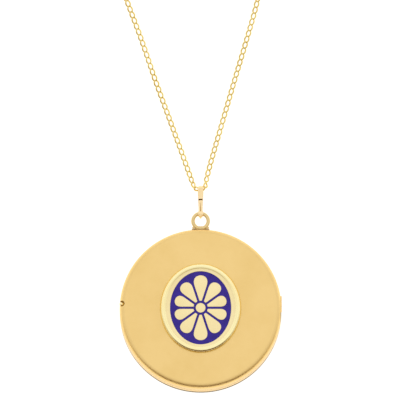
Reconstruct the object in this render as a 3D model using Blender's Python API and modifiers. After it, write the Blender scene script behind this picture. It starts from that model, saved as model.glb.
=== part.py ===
"""Round hinged locket with an oval enamelled medallion, on a fine chain with a spring-ring clasp.

The locket lies on its flat back: +Z rises out of the front cover, +Y runs to the suspension
ring and the bail, and +X to the hinge. The origin is the centre of the flat back face.
"""
import math

import bmesh
import bpy
from mathutils import Matrix, Vector

MM = 0.001

# Case
CASE_RADIUS = 22.34 * MM
CASE_THICKNESS = 6.8 * MM
EDGE_RADIUS = 0.9 * MM
WALL = 0.45 * MM
PARTING_GAP = 0.1 * MM
PARTING_Z = CASE_THICKNESS / 2
CASE_STEPS = 60
EDGE_POINTS = 3

# Snap rim, picture frames, lenses and cards: heights are above the outer face of their cover
FLOOR_CLEARANCE = 0.1 * MM
BAND_OUTER = 21.62 * MM
BAND_INNER = 21.3 * MM
BAND_TOP = 4.3 * MM
BACK_FRAME_OUTER = 21.2 * MM
FRONT_FRAME_OUTER = 21.7 * MM
FRAME_LIP_INNER = 18.9 * MM
FRAME_SEAT_RADIUS = 19.8 * MM
FRAME_LIP_BOTTOM = 1.5 * MM
FRAME_TOP = 2.2 * MM
LENS_RADIUS = 19.6 * MM
LENS_BOTTOM = 0.85 * MM
LENS_TOP = 1.45 * MM
CARD_BOTTOM = 0.55 * MM
CARD_TOP = 0.78 * MM
INSIDE_STEPS = 44

# Hinge on the right
HINGE_X = 22.1 * MM
HINGE_Y = 1.73 * MM
HINGE_LENGTH = 4.5 * MM
KNUCKLE_RADIUS = 0.32 * MM
KNUCKLE_BORE = 0.175 * MM
KNUCKLE_GAP = 0.08 * MM
PIN_RADIUS = 0.15 * MM
HINGE_CHORD = 0.05 * MM
HINGE_RELIEF = 0.38 * MM
HINGE_FLAT_REACH = 4 * MM
HINGE_END_GAP = 0.2 * MM
PIN_SHORTER = 0.04 * MM
CUT_OVERRUN = 1 * MM

# Snap ball on the left
BALL_X = -21.78 * MM
BALL_Y = 1.4 * MM
BALL_Z = 5.6 * MM
BALL_RADIUS = 0.64 * MM
STEM_RADIUS = 0.22 * MM
FOOT_RADIUS = 0.45 * MM
FOOT_BOTTOM = 3.4 * MM
FOOT_TOP = 3.52 * MM
NOTCH_RADIUS = 0.8 * MM
BAND_NOTCH_RADIUS = 0.72 * MM
BAND_NOTCH_BOTTOM = 3.3 * MM

# Medallion
MEDALLION_BASE = CASE_THICKNESS + 0.05 * MM
BEZEL_HALF = (11.2 * MM, 12.5 * MM)
BEZEL_WIDTH = 1.5 * MM
BEZEL_HEIGHT = 1.2 * MM
BEZEL_CROWN = 0.6 * MM
BEZEL_CROWN_STEPS = 3
PLAQUE_GAP = 0.08 * MM
PLAQUE_TOP = MEDALLION_BASE + 0.75 * MM
POCKET_FLOOR = MEDALLION_BASE + 0.45 * MM
ENAMEL_HALF = (8.4 * MM, 10.2 * MM)
ENAMEL_BOTTOM = POCKET_FLOOR + 0.04 * MM
ENAMEL_TOP = PLAQUE_TOP - 0.03 * MM
ENAMEL_GAP = 0.04 * MM
ENAMEL_BORDER = 1.1 * MM
OVAL_STEPS = 48
BOSS_RADIUS = 1.35 * MM
PETALS = 10
PETAL_START = 1.95 * MM
PETAL_GAP = 0.62 * MM
PETAL_SHARES = (0, 0.58, 0.70, 0.80, 0.88, 0.95, 1.0)

# Suspension ring and its beaded base
RING_CENTRE = Vector((0, 25.08 * MM, PARTING_Z))
RING_MAJOR = 2.08 * MM
RING_WIRE = 0.55 * MM
COLLAR_BEADS = 9
COLLAR_PITCH = 0.58 * MM
COLLAR_BEAD_RADIUS = 0.33 * MM
COLLAR_RADIUS = 22.75 * MM
COLLAR_HEIGHT = 1.9 * MM
COLLAR_GAP = 0.04 * MM

# Bail: a strip looped round the ring's top wire and the chain, in its own Y-Z plane
BAIL_PIVOT = RING_CENTRE + Vector((0, RING_MAJOR, 0))
BAIL_LENGTH = 6.92 * MM
BAIL_NEAR_INNER = 0.65 * MM
BAIL_FAR_INNER = 1.1 * MM
BAIL_STRIP = 0.4 * MM
BAIL_TIP_EXTRA = 0.7 * MM
BAIL_NEAR_HALF_WIDTH = 0.5 * MM
BAIL_FAR_HALF_WIDTH = 0.73 * MM
BAIL_SEAM_AT = 3.7 * MM
BAIL_SEAM = 0.14 * MM
BAIL_FLOOR_CLEARANCE = 0.02 * MM
BAIL_DROP = BAIL_PIVOT.z - BAIL_FAR_INNER - BAIL_STRIP - BAIL_FLOOR_CLEARANCE
BAIL_TILT = -math.asin(BAIL_DROP / BAIL_LENGTH)

# Chain: tubes for its two open runs, a flat ring for the coiled rest
CHAIN_TUBE_RADIUS = 0.4 * MM
CHAIN_START_X = 0.15 * MM
CHAIN_SEAT_GAP = 0.3 * MM
CHAIN_IN_BAIL = BAIL_LENGTH + BAIL_FAR_INNER - CHAIN_TUBE_RADIUS - CHAIN_SEAT_GAP
CHAIN_AXIS = BAIL_PIVOT + Matrix.Rotation(BAIL_TILT, 3, "X") @ Vector((0, CHAIN_IN_BAIL, 0))
CHAIN_EDGE_X = 0.98 * MM
CHAIN_EDGE_RISE = 0.03 * MM
CHAIN_POINT_STEP = 1.75 * MM
CHAIN_POINT_EASE = 1.35
LEFT_ROUTE = (
    (-1.50, 34.42, 1.32),
    (-2.30, 36.40, 1.17),
    (-4.45, 42.70, 0.75),
    (-8.46, 53.96, 0.46),
    (-12.50, 65.20, 0.43),
    (-16.30, 76.50, 0.43),
    (-20.00, 86.60, 0.43),
    (-21.70, 91.60, 0.43),
    (-20.90, 95.20, 0.43),
    (-17.30, 96.90, 0.43),
    (-12.00, 95.60, 0.43),
    (-6.55, 93.85, 0.43),
)
RIGHT_ROUTE = (
    (1.24, 34.52, 1.32),
    (1.62, 37.20, 1.14),
    (3.01, 42.70, 0.75),
    (6.19, 53.96, 0.46),
    (9.40, 65.20, 0.43),
    (12.70, 76.50, 0.43),
    (15.50, 86.60, 0.43),
    (16.40, 92.40, 0.43),
    (15.90, 98.00, 0.43),
    (14.00, 102.80, 0.43),
    (12.75, 106.00, 0.43),
)
COIL_CENTRE = Vector((-2.3 * MM, 108.6 * MM, 0))
COIL_OUTER = 14.65 * MM
COIL_INNER = 6.2 * MM
COIL_HEIGHT = 0.86 * MM
COIL_STEPS = 48

# Spring-ring clasp, flat in the middle of the coil: its angles are counted from its eye
CLASP_CENTRE = COIL_CENTRE + Vector((-0.6 * MM, 0.9 * MM, 0.52 * MM))
CLASP_TURN = 54
CLASP_MAJOR = 2.2 * MM
CLASP_PIPE = 0.5 * MM
CLASP_BORE = 0.34 * MM
CLASP_MOUTH = (-140, -100)
CLASP_MOUTH_OVERRUN = 8
CLASP_BOLT_RADIUS = 0.29 * MM
CLASP_BOLT = (-240, -96)
CLASP_LEVER_AT = -190
CLASP_LEVER_RADIUS = 0.15 * MM
CLASP_LEVER_REACH = 3.2 * MM
CLASP_SLOT = (-240, -180)
CLASP_SLOT_OUTWARD = 0.1 * MM
CLASP_SLOT_RADIUS = 0.22 * MM
CLASP_STEP_DEG = 12
EYE_MAJOR = 0.55 * MM
EYE_WIRE = 0.18 * MM
EYE_CENTRE_RADIUS = CLASP_MAJOR + CLASP_PIPE + 0.45 * MM
SPRING_ARC = (-288, -350)
SPRING_TURNS = 5
SPRING_POINTS_PER_TURN = 6
SPRING_RADIUS = 0.2 * MM
SPRING_WIRE = 0.06 * MM
JUMP_MAJOR = 0.75 * MM
JUMP_WIRE = 0.17 * MM
JUMP_FLOOR_CLEARANCE = 0.02 * MM
END_RING_CENTRE = COIL_CENTRE + Vector((4.5 * MM, 0.7 * MM, 0.2 * MM))
END_RING_MAJOR = 0.85 * MM
END_RING_WIRE = 0.19 * MM

WELD = 1e-6


def reset_scene():
    """Empty the scene and make the two collections that hold the parts and the cutters."""
    for old in list(bpy.data.objects):
        bpy.data.objects.remove(old, do_unlink=True)
    collections = []
    for name in ("locket", "cutters"):
        collection = bpy.data.collections.new(name)
        bpy.context.scene.collection.children.link(collection)
        collections.append(collection)
    return collections


PARTS, CUTTERS = reset_scene()


def make_material(name, colour, metallic, roughness, transmission=0.0):
    """A Principled material of one colour and finish."""
    material = bpy.data.materials.new(name)
    material.use_nodes = True
    shader = material.node_tree.nodes["Principled BSDF"]
    shader.inputs["Base Color"].default_value = (*colour, 1.0)
    shader.inputs["Metallic"].default_value = metallic
    shader.inputs["Roughness"].default_value = roughness
    shader.inputs["Transmission Weight"].default_value = transmission
    material.diffuse_color = (*colour, 1.0)
    return material


SATIN_GOLD = ((0.86, 0.63, 0.25), 1.0, 0.38)
BRIGHT_GOLD = ((0.95, 0.74, 0.33), 1.0, 0.14)
ENAMEL_BLUE = ((0.045, 0.022, 0.29), 0.0, 0.12)
CLEAR = ((0.95, 0.97, 1.0), 0.0, 0.04, 1.0)
CARD = ((0.86, 0.83, 0.76), 0.0, 0.8)
STEEL = ((0.6, 0.6, 0.62), 1.0, 0.3)


def smooth(mesh, angle=math.radians(35)):
    """Shade a mesh smooth, and keep its real edges sharp."""
    mesh.shade_smooth()
    mesh.set_sharp_from_angle(angle=angle)


def finish(obj, look, name=None):
    """Put a finished object among the parts, with a material of its own."""
    if name:
        obj.name = name
    for collection in list(obj.users_collection):
        collection.objects.unlink(obj)
    PARTS.objects.link(obj)
    obj.data.materials.clear()
    obj.data.materials.append(make_material(obj.name + "_material", *look))
    if obj.type == "MESH":
        smooth(obj.data)
    return obj


def as_cutter(obj):
    """Put an object among the cutters, where the build leaves it out."""
    for collection in list(obj.users_collection):
        collection.objects.unlink(obj)
    CUTTERS.objects.link(obj)
    obj.hide_render = True
    obj.display_type = "WIRE"
    return obj


def solid_from(obj, name):
    """A plain welded mesh of an object as the viewport shows it; the original goes away."""
    bpy.context.view_layer.update()
    graph = bpy.context.evaluated_depsgraph_get()
    mesh = bpy.data.meshes.new_from_object(obj.evaluated_get(graph))
    mesh.name = name
    matrix = obj.matrix_world.copy()
    bpy.data.objects.remove(obj, do_unlink=True)
    bm = bmesh.new()
    bm.from_mesh(mesh)
    bmesh.ops.remove_doubles(bm, verts=bm.verts, dist=WELD)
    bmesh.ops.recalc_face_normals(bm, faces=bm.faces)
    bm.to_mesh(mesh)
    bm.free()
    welded = bpy.data.objects.new(name, mesh)
    welded.matrix_world = matrix
    PARTS.objects.link(welded)
    return welded


def combine(obj, other, operation):
    """Cut, join or intersect an object with another, which joins the cutters."""
    as_cutter(other)
    modifier = obj.modifiers.new(operation.title(), "BOOLEAN")
    modifier.operation = operation
    modifier.solver = "EXACT"
    modifier.object = other
    return obj


def turned(name, profile, closed, steps, centre=(0, 0, 0)):
    """Turn a profile of (radius, height) points round Z. It runs down the outer side."""
    mesh = bpy.data.meshes.new(name)
    count = len(profile)
    edges = [(i, i + 1) for i in range(count - 1)]
    if closed:
        edges.append((count - 1, 0))
    mesh.from_pydata([(radius, 0, height) for radius, height in profile], edges, [])
    obj = bpy.data.objects.new(name, mesh)
    obj.location = centre
    PARTS.objects.link(obj)
    screw = obj.modifiers.new("Screw", "SCREW")
    screw.steps = steps
    screw.render_steps = steps
    screw.use_merge_vertices = True
    screw.merge_threshold = WELD
    screw.use_smooth_shade = True
    return obj


def cylinder(name, radius, length, centre, axis="Z", segments=24):
    """A closed cylinder along X, Y or Z."""
    mesh = bpy.data.meshes.new(name)
    bm = bmesh.new()
    bmesh.ops.create_cone(
        bm, cap_ends=True, segments=segments, radius1=radius, radius2=radius, depth=length)
    bm.to_mesh(mesh)
    bm.free()
    turns = {"X": Matrix.Rotation(math.pi / 2, 4, "Y"), "Y": Matrix.Rotation(math.pi / 2, 4, "X")}
    obj = bpy.data.objects.new(name, mesh)
    obj.matrix_world = Matrix.Translation(centre) @ turns.get(axis, Matrix.Identity(4))
    PARTS.objects.link(obj)
    return obj


def box(name, low, high):
    """A closed box between two corners."""
    mesh = bpy.data.meshes.new(name)
    bm = bmesh.new()
    bmesh.ops.create_cube(bm, size=1.0)
    bmesh.ops.scale(bm, verts=bm.verts, vec=[b - a for a, b in zip(low, high)])
    bm.to_mesh(mesh)
    bm.free()
    obj = bpy.data.objects.new(name, mesh)
    obj.location = [(a + b) / 2 for a, b in zip(low, high)]
    PARTS.objects.link(obj)
    return obj


def torus(name, major, minor, centre, rotation=(0, 0, 0), major_segments=32, minor_segments=10):
    """A torus from Blender's own primitive."""
    bpy.ops.mesh.primitive_torus_add(
        major_radius=major, minor_radius=minor, location=centre, rotation=rotation,
        major_segments=major_segments, minor_segments=minor_segments)
    obj = bpy.context.object
    obj.name = name
    return obj


def tube(name, points, radius, resolution=2):
    """A round tube with closed ends along a list of points, as a bevelled poly curve."""
    curve = bpy.data.curves.new(name, "CURVE")
    curve.dimensions = "3D"
    curve.bevel_depth = radius
    curve.bevel_resolution = resolution
    curve.use_fill_caps = True
    spline = curve.splines.new("POLY")
    spline.points.add(len(points) - 1)
    for knot, point in zip(spline.points, points):
        knot.co = (*point, 1.0)
    obj = bpy.data.objects.new(name, curve)
    PARTS.objects.link(obj)
    return obj


def plates(name, outlines, bottom, top):
    """Flat plates with the given closed outlines, from one height to another."""
    curve = bpy.data.curves.new(name, "CURVE")
    curve.dimensions = "2D"
    curve.fill_mode = "BOTH"
    curve.extrude = (top - bottom) / 2
    for outline in outlines:
        spline = curve.splines.new("POLY")
        spline.use_cyclic_u = True
        spline.points.add(len(outline) - 1)
        for knot, point in zip(spline.points, outline):
            knot.co = (*point, 0.0, 1.0)
    obj = bpy.data.objects.new(name, curve)
    obj.location.z = (top + bottom) / 2
    PARTS.objects.link(obj)
    return solid_from(obj, name)


def arc(centre, radius, start, end, points):
    """Points of a circular arc in a plane, from one angle in degrees to another."""
    found = []
    for step in range(points + 1):
        angle = math.radians(start + (end - start) * step / points)
        found.append((centre[0] + radius * math.cos(angle), centre[1] + radius * math.sin(angle)))
    return found


def oval(half, steps=OVAL_STEPS):
    """The points of an upright ellipse."""
    turns = [2 * math.pi * step / steps for step in range(steps)]
    return [(half[0] * math.cos(turn), half[1] * math.sin(turn)) for turn in turns]


def grown(half, by):
    """An ellipse's half sizes, made larger or smaller by a distance."""
    return (half[0] + by, half[1] + by)


def upside_down(profile):
    """A turned profile mirrored to the other cover's side of the case."""
    return [(radius, CASE_THICKNESS - height) for radius, height in reversed(profile)]


# --- Covers -----------------------------------------------------------------------------------

def cover_profile():
    """The back cover's section: in over the floor, up the wall, over the rim, down outside."""
    rim = PARTING_Z - PARTING_GAP / 2
    inner_edge = EDGE_RADIUS - WALL
    centre = (CASE_RADIUS - EDGE_RADIUS, EDGE_RADIUS)
    inside = arc(centre, inner_edge, -90, 0, EDGE_POINTS)
    outside = arc(centre, EDGE_RADIUS, 0, -90, EDGE_POINTS)
    return [(0, WALL), *inside, (CASE_RADIUS - WALL, rim), (CASE_RADIUS, rim), *outside, (0, 0)]


def hinge_cut(cover):
    """Trim a cover flat along the hinge, and hollow it for the knuckles."""
    flat = box(cover.name + "_flat_cut",
               (HINGE_X - HINGE_CHORD, -HINGE_FLAT_REACH, -CUT_OVERRUN),
               (HINGE_X + HINGE_FLAT_REACH, HINGE_FLAT_REACH, CASE_THICKNESS + CUT_OVERRUN))
    relief = cylinder(cover.name + "_barrel_cut", HINGE_RELIEF, HINGE_LENGTH + HINGE_END_GAP,
                      (HINGE_X, HINGE_Y, PARTING_Z), "Y")
    combine(cover, flat, "DIFFERENCE")
    combine(cover, relief, "DIFFERENCE")


def back_cover():
    cover = turned("back_cover", cover_profile(), False, CASE_STEPS)
    hinge_cut(cover)
    finish(cover, SATIN_GOLD)


def catch_notch(obj, radius, bottom):
    """Clear an upright round notch for the catch ball, from a height upwards."""
    centre = (BALL_X, BALL_Y, bottom + CASE_THICKNESS / 2)
    return combine(obj, cylinder(obj.name + "_notch_cut", radius, CASE_THICKNESS, centre),
                   "DIFFERENCE")


def front_cover():
    cover = turned("front_cover", upside_down(cover_profile()), False, CASE_STEPS)
    hinge_cut(cover)
    finish(catch_notch(cover, NOTCH_RADIUS, PARTING_Z), SATIN_GOLD)


def back_inner_band():
    floor = WALL + FLOOR_CLEARANCE
    lead_in = 0.1 * MM
    profile = [(BAND_INNER, BAND_TOP), (BAND_OUTER - lead_in, BAND_TOP),
               (BAND_OUTER, BAND_TOP - lead_in), (BAND_OUTER, floor), (BAND_INNER, floor)]
    band = turned("back_inner_band", profile, True, CASE_STEPS)
    finish(catch_notch(band, BAND_NOTCH_RADIUS, BAND_NOTCH_BOTTOM), BRIGHT_GOLD)


# --- Picture places ----------------------------------------------------------------------------

def frame_profile(outer):
    """A picture frame's section: a skirt with a lip over the lens's edge."""
    ease = 0.15 * MM
    return [(FRAME_LIP_INNER + ease, FRAME_TOP), (outer - ease, FRAME_TOP),
            (outer, FRAME_TOP - ease), (outer, CARD_BOTTOM + 2 * ease),
            (outer - 2 * ease, CARD_BOTTOM), (FRAME_SEAT_RADIUS, CARD_BOTTOM),
            (FRAME_SEAT_RADIUS, FRAME_LIP_BOTTOM), (FRAME_LIP_INNER, FRAME_LIP_BOTTOM),
            (FRAME_LIP_INNER, FRAME_TOP - ease)]


def disc_profile(bottom, top):
    return [(0, top), (LENS_RADIUS, top), (LENS_RADIUS, bottom), (0, bottom)]


def picture_place(side, frame_outer, place):
    """A frame, lens and blank card for one cover."""
    frame = turned(side + "_photo_frame", place(frame_profile(frame_outer)), True, INSIDE_STEPS)
    if side == "front":
        catch_notch(frame, NOTCH_RADIUS, PARTING_Z)
    lens = turned(side + "_lens", place(disc_profile(LENS_BOTTOM, LENS_TOP)), False, INSIDE_STEPS)
    card = turned(side + "_photo_card", place(disc_profile(CARD_BOTTOM, CARD_TOP)), False,
                  INSIDE_STEPS)
    finish(frame, BRIGHT_GOLD)
    finish(lens, CLEAR)
    finish(card, CARD)


# --- Hinge and catch ---------------------------------------------------------------------------

def hinge():
    """Three knuckles on one pin; the middle one belongs to the front cover."""
    length = (HINGE_LENGTH - 2 * KNUCKLE_GAP) / 3
    names = ("hinge_knuckle_back_lower", "hinge_knuckle_front", "hinge_knuckle_back_upper")
    for index, name in enumerate(names):
        centre = (HINGE_X, HINGE_Y + (index - 1) * (length + KNUCKLE_GAP), PARTING_Z)
        knuckle = cylinder(name, KNUCKLE_RADIUS, length, centre, "Y")
        bore = cylinder(name + "_bore", KNUCKLE_BORE, length * 2, centre, "Y")
        combine(knuckle, bore, "DIFFERENCE")
        finish(knuckle, SATIN_GOLD)
    pin = cylinder("hinge_pin", PIN_RADIUS, HINGE_LENGTH - PIN_SHORTER,
                   (HINGE_X, HINGE_Y, PARTING_Z), "Y")
    finish(pin, BRIGHT_GOLD)


def catch_ball():
    """A small ball on a stem and a foot that is soldered to the back cover's rim."""
    below = math.degrees(math.acos(STEM_RADIUS / BALL_RADIUS))
    ball = arc((0, BALL_Z), BALL_RADIUS, 90, -below, 10)
    profile = [(0, BALL_Z + BALL_RADIUS), *ball[1:], (STEM_RADIUS, FOOT_TOP),
               (FOOT_RADIUS, FOOT_TOP), (FOOT_RADIUS, FOOT_BOTTOM), (0, FOOT_BOTTOM)]
    finish(turned("catch_ball", profile, False, 20, (BALL_X, BALL_Y, 0)), BRIGHT_GOLD)


# --- Medallion ---------------------------------------------------------------------------------

def medallion_bezel():
    """An oval wall with a rounded crown, from an oval plate with an oval hole."""
    top = MEDALLION_BASE + BEZEL_HEIGHT
    outlines = [oval(BEZEL_HALF), oval(grown(BEZEL_HALF, -BEZEL_WIDTH))]
    bezel = plates("medallion_bezel", outlines, MEDALLION_BASE, top)
    crown = bezel.modifiers.new("Crown", "BEVEL")
    crown.width = BEZEL_CROWN
    crown.segments = BEZEL_CROWN_STEPS
    crown.limit_method = "WEIGHT"
    weights = bezel.data.attributes.new("bevel_weight_edge", "FLOAT", "EDGE")
    for edge in bezel.data.edges:
        a, b = (bezel.data.vertices[index].co for index in edge.vertices)
        on_top = min(a.z, b.z) > BEZEL_HEIGHT / 2 - WELD
        outward = [math.hypot(v.x / BEZEL_HALF[0], v.y / BEZEL_HALF[1]) for v in (a, b)]
        weights.data[edge.index].value = float(on_top and abs(outward[0] - outward[1]) < 0.02)
    finish(bezel, BRIGHT_GOLD)


def petal(angle, extra):
    """One petal's outline: a wedge from near the boss to a round end near the border."""
    half = grown(ENAMEL_HALF, extra - ENAMEL_BORDER)
    end = 1 / math.hypot(math.sin(angle) / half[0], math.cos(angle) / half[1])
    start = PETAL_START - extra
    wedge = math.pi / PETALS
    along = Vector((math.sin(angle), math.cos(angle)))
    across = Vector((along.y, -along.x))
    outline = []
    for side in (1, -1):
        for share in PETAL_SHARES[::side]:
            out = start + (end - start) * share
            rounding = max((share - PETAL_SHARES[1]) / (1 - PETAL_SHARES[1]), 0.0)
            width = out * math.tan(wedge) - PETAL_GAP / 2 + extra / math.cos(wedge)
            point = along * out + across * side * width * math.sqrt(1 - rounding ** 2)
            outline.append(point)
    return outline[:-len(PETAL_SHARES)] + outline[-len(PETAL_SHARES) + 1:]


def motif(name, extra, bottom, top):
    """The raised flower: its petals and its boss, each grown by the same small amount."""
    outlines = [petal(2 * math.pi * index / PETALS, extra) for index in range(PETALS)]
    outlines.append(arc((0, 0), BOSS_RADIUS + extra, 0, 345, 23))
    return plates(name, outlines, bottom, top)


def medallion():
    """The oval plate with its raised flower, and the enamel that fills the ground round it."""
    over = 0.5 * MM
    pocket = plates("enamel_pocket", [oval(grown(ENAMEL_HALF, ENAMEL_GAP))], POCKET_FLOOR,
                    PLAQUE_TOP + over)
    flower = motif("flower", 0, POCKET_FLOOR - over, PLAQUE_TOP + 2 * over)
    pocket = solid_from(combine(pocket, flower, "DIFFERENCE"), "enamel_pocket")
    half = grown(BEZEL_HALF, -BEZEL_WIDTH - PLAQUE_GAP)
    plaque = plates("medallion_plaque", [oval(half)], MEDALLION_BASE, PLAQUE_TOP)
    finish(combine(plaque, pocket, "DIFFERENCE"), SATIN_GOLD)

    enamel = plates("enamel_field", [oval(ENAMEL_HALF)], ENAMEL_BOTTOM, ENAMEL_TOP)
    openings = motif("flower_openings", ENAMEL_GAP, ENAMEL_BOTTOM - over, ENAMEL_TOP + over)
    finish(combine(enamel, openings, "DIFFERENCE"), ENAMEL_BLUE)


# --- Suspension ring and bail ------------------------------------------------------------------

def suspension_ring():
    finish(torus("suspension_ring", RING_MAJOR, RING_WIRE, RING_CENTRE), BRIGHT_GOLD)


def ring_base_collar():
    """A row of short upright beads along the case's edge, hollowed for the ring's wire."""
    collar = None
    for index in range(COLLAR_BEADS):
        turn = (index - (COLLAR_BEADS - 1) / 2) * COLLAR_PITCH / COLLAR_RADIUS
        centre = (COLLAR_RADIUS * math.sin(turn), COLLAR_RADIUS * math.cos(turn), PARTING_Z)
        bead = cylinder("ring_base_bead", COLLAR_BEAD_RADIUS, COLLAR_HEIGHT, centre, "Z", 14)
        collar = bead if collar is None else combine(collar, bead, "UNION")
    ring = torus("ring_base_cut", RING_MAJOR, RING_WIRE + COLLAR_GAP, RING_CENTRE)
    finish(combine(collar, ring, "DIFFERENCE"), SATIN_GOLD, "ring_base_collar")


def loop_outline(near, far, points):
    """A belt round two circles on the bail's long axis: a list of (along, height) points."""
    lean = math.degrees(math.asin((far - near) / BAIL_LENGTH))
    round_far = arc((BAIL_LENGTH, 0), far, -90 - lean, 90 + lean, 2 * points)
    round_near = arc((0, 0), near, 90 + lean, 270 - lean, 2 * points)
    leaf_steps = 6
    outline = list(round_far)
    for step in range(1, leaf_steps):
        outline.append(between(round_far[-1], round_near[0], step / leaf_steps))
    outline.extend(round_near)
    for step in range(1, leaf_steps):
        outline.append(between(round_near[-1], round_far[0], step / leaf_steps))
    return outline


def between(a, b, share):
    return (a[0] + (b[0] - a[0]) * share, a[1] + (b[1] - a[1]) * share)


def bail_half_width(along):
    """Half the strip's width: narrow at the ring, widest near the chain, rounded at its end."""
    share = min(max(along / BAIL_LENGTH, 0.0), 1.0)
    width = BAIL_NEAR_HALF_WIDTH + (BAIL_FAR_HALF_WIDTH - BAIL_NEAR_HALF_WIDTH) * share ** 1.3
    tip = min(max(-along / (BAIL_NEAR_INNER + BAIL_STRIP), 0.0), 1.0)
    end = min(max((along - BAIL_LENGTH) / (BAIL_FAR_INNER + BAIL_STRIP), 0.0), 1.0)
    return width * (1 - 0.45 * tip) * (1 - 0.3 * end * end)


def bail():
    """The strip's loop, cut from a plate, tapered, pointed at the ring and seamed in front."""
    inner = loop_outline(BAIL_NEAR_INNER, BAIL_FAR_INNER, 5)
    outer = loop_outline(BAIL_NEAR_INNER + BAIL_STRIP, BAIL_FAR_INNER + BAIL_STRIP, 5)
    outer = [(along - BAIL_TIP_EXTRA * max(-along / (BAIL_NEAR_INNER + BAIL_STRIP), 0.0), height)
             for along, height in outer]
    # A plate with faces at -1 and 1, whose sides then close in to the strip's own half width
    plate = plates("bail", [outer, inner], -1.0, 1.0)
    for vertex in plate.data.vertices:
        along, height, side = vertex.co
        vertex.co = (math.copysign(bail_half_width(along), side), along, height)
    bm = bmesh.new()
    bm.from_mesh(plate.data)
    bmesh.ops.recalc_face_normals(bm, faces=bm.faces)
    bm.to_mesh(plate.data)
    bm.free()
    seam = box("bail_seam_cut", (-CUT_OVERRUN, BAIL_SEAM_AT - BAIL_SEAM / 2, BAIL_NEAR_INNER / 2),
               (CUT_OVERRUN, BAIL_SEAM_AT + BAIL_SEAM / 2, BAIL_FAR_INNER + BAIL_STRIP))
    place = Matrix.Translation(BAIL_PIVOT) @ Matrix.Rotation(BAIL_TILT, 4, "X")
    seam.matrix_world = place @ Matrix.Translation(seam.location)
    plate.matrix_world = place
    finish(combine(plate, seam, "DIFFERENCE"), BRIGHT_GOLD)


# --- Chain -------------------------------------------------------------------------------------

def smooth_route(points, step, ease):
    """Points on a smooth curve through a route's own points, closest together at its start."""
    parts = 24
    dense = []
    padded = [points[0] * 2 - points[1], *points, points[-1] * 2 - points[-2]]
    for i in range(1, len(padded) - 2):
        a, b, c, d = padded[i - 1:i + 3]
        for part in range(parts):
            t = part / parts
            dense.append(0.5 * (2 * b + (c - a) * t + (2 * a - 5 * b + 4 * c - d) * t * t
                                + (3 * b - a - 3 * c + d) * t ** 3))
    dense.append(points[-1])
    lengths = [0.0]
    for a, b in zip(dense, dense[1:]):
        lengths.append(lengths[-1] + (b - a).length)
    count = max(2, round(lengths[-1] / step))
    spaced = []
    index = 0
    for number in range(count + 1):
        wanted = lengths[-1] * (number / count) ** ease
        while index < len(dense) - 2 and lengths[index + 1] < wanted:
            index += 1
        span = lengths[index + 1] - lengths[index]
        spaced.append(dense[index].lerp(dense[index + 1], (wanted - lengths[index]) / span))
    return spaced


def chain_run(name, side, route):
    """One open run: it starts inside the bail, passes its edge and goes out to the coil."""
    inside = [CHAIN_AXIS + Vector((side * CHAIN_START_X, 0, 0)),
              CHAIN_AXIS + Vector((side * CHAIN_EDGE_X, CHAIN_EDGE_RISE, 0))]
    points = inside + [Vector(point) * MM for point in route]
    spaced = smooth_route(points, CHAIN_POINT_STEP, CHAIN_POINT_EASE)
    finish(tube(name, spaced, CHAIN_TUBE_RADIUS), BRIGHT_GOLD)


def chain_coil():
    profile = [(COIL_INNER, COIL_HEIGHT), (COIL_OUTER, COIL_HEIGHT), (COIL_OUTER, 0),
               (COIL_INNER, 0)]
    finish(turned("chain_coil", profile, True, COIL_STEPS, COIL_CENTRE), BRIGHT_GOLD)


# --- Clasp -------------------------------------------------------------------------------------

def clasp_point(angle_deg, radius=CLASP_MAJOR, height=0.0):
    angle = math.radians(CLASP_TURN + angle_deg)
    return CLASP_CENTRE + Vector((radius * math.cos(angle), radius * math.sin(angle), height))


def clasp_arc(name, start, end, radius, wire):
    """A bent round bar about the clasp's centre, as a mesh."""
    steps = max(2, round(abs(end - start) / CLASP_STEP_DEG))
    points = [clasp_point(start + (end - start) * i / steps, radius) for i in range(steps + 1)]
    return solid_from(tube(name, points, wire), name)


def clasp_body():
    """A C-shaped pipe with an eye, bored through for the bolt and slotted for its lever."""
    start, end = CLASP_MOUTH[1], CLASP_MOUTH[0] + 360
    body = clasp_arc("clasp_body", start, end, CLASP_MAJOR, CLASP_PIPE)
    eye = torus("clasp_eye", EYE_MAJOR, EYE_WIRE, clasp_point(0, EYE_CENTRE_RADIUS),
                major_segments=20, minor_segments=8)
    bore = clasp_arc("clasp_bore", start - CLASP_MOUTH_OVERRUN, end + CLASP_MOUTH_OVERRUN,
                     CLASP_MAJOR, CLASP_BORE)
    slot = clasp_arc("clasp_slot", *CLASP_SLOT, CLASP_MAJOR + CLASP_BORE + CLASP_SLOT_OUTWARD,
                     CLASP_SLOT_RADIUS)
    combine(body, eye, "UNION")
    combine(body, bore, "DIFFERENCE")
    combine(body, slot, "DIFFERENCE")
    finish(body, BRIGHT_GOLD)


def clasp_trigger():
    """The sliding bolt with its thumb lever."""
    bolt = clasp_arc("clasp_trigger", *CLASP_BOLT, CLASP_MAJOR, CLASP_BOLT_RADIUS)
    ends = [clasp_point(CLASP_LEVER_AT, reach) for reach in (CLASP_MAJOR, CLASP_LEVER_REACH)]
    lever = solid_from(tube("clasp_lever", ends, CLASP_LEVER_RADIUS), "clasp_lever")
    finish(combine(bolt, lever, "UNION"), BRIGHT_GOLD)


def clasp_spring():
    """The small coil spring behind the bolt, at its shortest."""
    points = []
    count = SPRING_TURNS * SPRING_POINTS_PER_TURN
    for step in range(count + 1):
        turn = 2 * math.pi * step / SPRING_POINTS_PER_TURN
        angle = SPRING_ARC[0] + (SPRING_ARC[1] - SPRING_ARC[0]) * step / count
        points.append(clasp_point(angle, CLASP_MAJOR + SPRING_RADIUS * math.cos(turn),
                                  SPRING_RADIUS * math.sin(turn)))
    finish(tube("clasp_spring", points, SPRING_WIRE), STEEL)


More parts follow.
